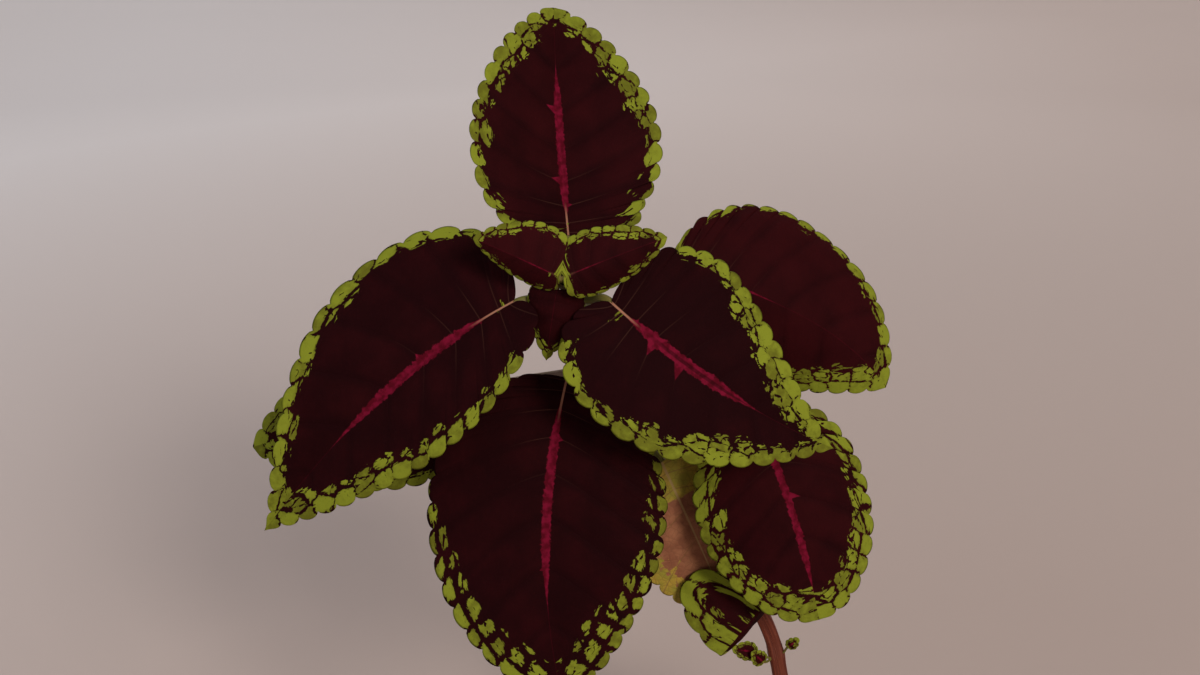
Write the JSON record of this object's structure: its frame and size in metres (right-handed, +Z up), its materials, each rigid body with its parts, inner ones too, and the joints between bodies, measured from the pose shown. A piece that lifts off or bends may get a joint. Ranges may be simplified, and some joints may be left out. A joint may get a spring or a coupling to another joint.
{
  "type": "potted coleus plant",
  "caption": "Coleus in a plain pot: one leaning stem with crossed pairs of broad toothed maroon leaves edged in lime green.",
  "frame": {"origin": "middle of the pot's flat base", "axes": "+Z up; the plant leans to -X and -Y, and its leaves face -Y"},
  "size_m": [0.2811, 0.1898, 0.4163],
  "materials": {
    "leaf_blade": "velvety maroon with a lime-green toothed edge",
    "yellowing_blade": "dull, mauve-brown with a yellow edge",
    "stem_skin": "satin, reddish brown",
    "bud_green": "velvety yellow-green",
    "potting_soil": "crumbly, matte",
    "fired_clay": "matte fired clay"
  },
  "bodies": {
    "root": {"back_leaf": "leaf_blade", "front_leaf": "leaf_blade", "lower_leaf_right": "leaf_blade", "middle_leaf_left": "leaf_blade", "middle_leaf_right": "leaf_blade", "pot": "fired_clay", "side_shoot_left": "leaf_blade", "side_shoot_right": "leaf_blade", "small_leaf": "leaf_blade", "soil": "potting_soil", "stem": "stem_skin", "tip_bud": "bud_green", "upper_leaf_back": "leaf_blade", "upper_leaf_front": "leaf_blade", "wide_leaf_left": "leaf_blade", "wide_leaf_right": "leaf_blade", "yellowing_leaf": "yellowing_blade", "young_leaf_left": "leaf_blade", "young_leaf_right": "leaf_blade"}
  },
  "joints": []
}
